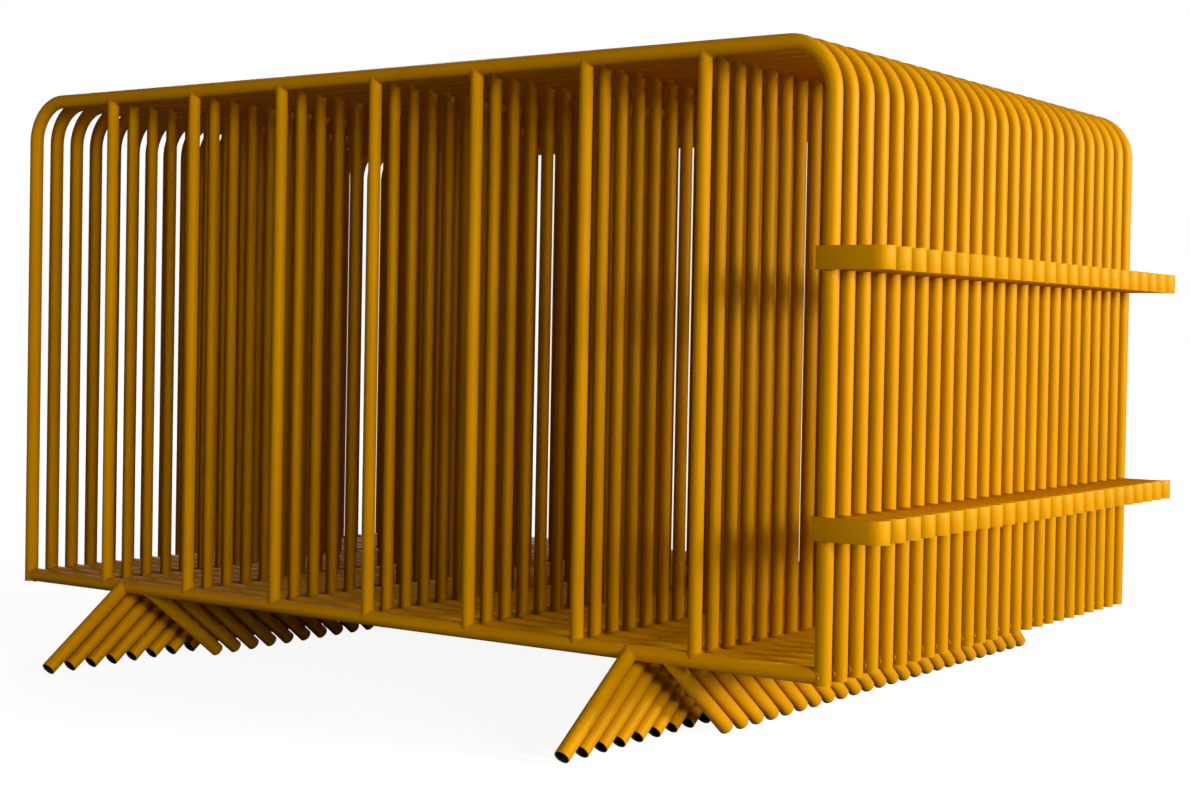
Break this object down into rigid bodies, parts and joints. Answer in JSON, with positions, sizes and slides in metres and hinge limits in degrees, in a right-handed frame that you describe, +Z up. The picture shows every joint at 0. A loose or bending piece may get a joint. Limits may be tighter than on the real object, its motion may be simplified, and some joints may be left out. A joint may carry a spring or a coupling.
{
  "type": "crowd barrier stack",
  "caption": "Stack of identical steel crowd barriers, nested leg in leg, each a bent tube frame with upright bars, splayed feet and two side hooks, in orange-yellow powder coat",
  "frame": {"origin": "On the floor, at the middle of the stack's outline", "axes": "+X runs along the barriers to the hooks, +Y from the front barrier to the rear one, +Z up"},
  "size_m": [1.8732, 1.5446, 1.0793],
  "materials": {
    "powder_coat": "orange-yellow powder coat, satin gloss"
  },
  "bodies": {
    "barrier_01": {"frame_hoop": "powder_coat", "bottom_rail": "powder_coat", "upright_bars": "powder_coat", "front_leg_left": "powder_coat", "front_leg_right": "powder_coat", "back_leg_left": "powder_coat", "back_leg_right": "powder_coat", "upper_hook": "powder_coat", "lower_hook": "powder_coat"},
    "barrier_02": {"frame_hoop_02": "powder_coat", "welded_members_02": "powder_coat"},
    "barrier_03": {"frame_hoop_03": "powder_coat", "welded_members_03": "powder_coat"},
    "barrier_04": {"frame_hoop_04": "powder_coat", "welded_members_04": "powder_coat"},
    "barrier_05": {"frame_hoop_05": "powder_coat", "welded_members_05": "powder_coat"},
    "barrier_06": {"frame_hoop_06": "powder_coat", "welded_members_06": "powder_coat"},
    "barrier_07": {"frame_hoop_07": "powder_coat", "welded_members_07": "powder_coat"},
    "barrier_08": {"frame_hoop_08": "powder_coat", "welded_members_08": "powder_coat"},
    "barrier_09": {"frame_hoop_09": "powder_coat", "welded_members_09": "powder_coat"},
    "barrier_10": {"frame_hoop_10": "powder_coat", "welded_members_10": "powder_coat"},
    "barrier_11": {"frame_hoop_11": "powder_coat", "welded_members_11": "powder_coat"},
    "barrier_12": {"frame_hoop_12": "powder_coat", "welded_members_12": "powder_coat"},
    "barrier_13": {"frame_hoop_13": "powder_coat", "welded_members_13": "powder_coat"},
    "barrier_14": {"frame_hoop_14": "powder_coat", "welded_members_14": "powder_coat"},
    "barrier_15": {"frame_hoop_15": "powder_coat", "welded_members_15": "powder_coat"},
    "barrier_16": {"frame_hoop_16": "powder_coat", "welded_members_16": "powder_coat"},
    "barrier_17": {"frame_hoop_17": "powder_coat", "welded_members_17": "powder_coat"},
    "barrier_18": {"frame_hoop_18": "powder_coat", "welded_members_18": "powder_coat"},
    "barrier_19": {"frame_hoop_19": "powder_coat", "welded_members_19": "powder_coat"},
    "barrier_20": {"frame_hoop_20": "powder_coat", "welded_members_20": "powder_coat"},
    "barrier_21": {"frame_hoop_21": "powder_coat", "welded_members_21": "powder_coat"},
    "barrier_22": {"frame_hoop_22": "powder_coat", "welded_members_22": "powder_coat"},
    "barrier_23": {"frame_hoop_23": "powder_coat", "welded_members_23": "powder_coat"},
    "barrier_24": {"frame_hoop_24": "powder_coat", "welded_members_24": "powder_coat"},
    "barrier_25": {"frame_hoop_25": "powder_coat", "welded_members_25": "powder_coat"}
  },
  "joints": [
    {"name": "draw_off_01", "type": "slide", "parent": "barrier_02", "child": "barrier_01", "axis": [0, -1, 0], "range_m": [0, 0.35]},
    {"name": "draw_off_02", "type": "slide", "parent": "barrier_03", "child": "barrier_02", "axis": [0, -1, 0], "range_m": [0, 0.35]},
    {"name": "draw_off_03", "type": "slide", "parent": "barrier_04", "child": "barrier_03", "axis": [0, -1, 0], "range_m": [0, 0.35]},
    {"name": "draw_off_04", "type": "slide", "parent": "barrier_05", "child": "barrier_04", "axis": [0, -1, 0], "range_m": [0, 0.35]},
    {"name": "draw_off_05", "type": "slide", "parent": "barrier_06", "child": "barrier_05", "axis": [0, -1, 0], "range_m": [0, 0.35]},
    {"name": "draw_off_06", "type": "slide", "parent": "barrier_07", "child": "barrier_06", "axis": [0, -1, 0], "range_m": [0, 0.35]},
    {"name": "draw_off_07", "type": "slide", "parent": "barrier_08", "child": "barrier_07", "axis": [0, -1, 0], "range_m": [0, 0.35]},
    {"name": "draw_off_08", "type": "slide", "parent": "barrier_09", "child": "barrier_08", "axis": [0, -1, 0], "range_m": [0, 0.35]},
    {"name": "draw_off_09", "type": "slide", "parent": "barrier_10", "child": "barrier_09", "axis": [0, -1, 0], "range_m": [0, 0.35]},
    {"name": "draw_off_10", "type": "slide", "parent": "barrier_11", "child": "barrier_10", "axis": [0, -1, 0], "range_m": [0, 0.35]},
    {"name": "draw_off_11", "type": "slide", "parent": "barrier_12", "child": "barrier_11", "axis": [0, -1, 0], "range_m": [0, 0.35]},
    {"name": "draw_off_12", "type": "slide", "parent": "barrier_13", "child": "barrier_12", "axis": [0, -1, 0], "range_m": [0, 0.35]},
    {"name": "draw_off_13", "type": "slide", "parent": "barrier_14", "child": "barrier_13", "axis": [0, -1, 0], "range_m": [0, 0.35]},
    {"name": "draw_off_14", "type": "slide", "parent": "barrier_15", "child": "barrier_14", "axis": [0, -1, 0], "range_m": [0, 0.35]},
    {"name": "draw_off_15", "type": "slide", "parent": "barrier_16", "child": "barrier_15", "axis": [0, -1, 0], "range_m": [0, 0.35]},
    {"name": "draw_off_16", "type": "slide", "parent": "barrier_17", "child": "barrier_16", "axis": [0, -1, 0], "range_m": [0, 0.35]},
    {"name": "draw_off_17", "type": "slide", "parent": "barrier_18", "child": "barrier_17", "axis": [0, -1, 0], "range_m": [0, 0.35]},
    {"name": "draw_off_18", "type": "slide", "parent": "barrier_19", "child": "barrier_18", "axis": [0, -1, 0], "range_m": [0, 0.35]},
    {"name": "draw_off_19", "type": "slide", "parent": "barrier_20", "child": "barrier_19", "axis": [0, -1, 0], "range_m": [0, 0.35]},
    {"name": "draw_off_20", "type": "slide", "parent": "barrier_21", "child": "barrier_20", "axis": [0, -1, 0], "range_m": [0, 0.35]},
    {"name": "draw_off_21", "type": "slide", "parent": "barrier_22", "child": "barrier_21", "axis": [0, -1, 0], "range_m": [0, 0.35]},
    {"name": "draw_off_22", "type": "slide", "parent": "barrier_23", "child": "barrier_22", "axis": [0, -1, 0], "range_m": [0, 0.35]},
    {"name": "draw_off_23", "type": "slide", "parent": "barrier_24", "child": "barrier_23", "axis": [0, -1, 0], "range_m": [0, 0.35]},
    {"name": "draw_off_24", "type": "slide", "parent": "barrier_25", "child": "barrier_24", "axis": [0, -1, 0], "range_m": [0, 0.35]}
  ]
}
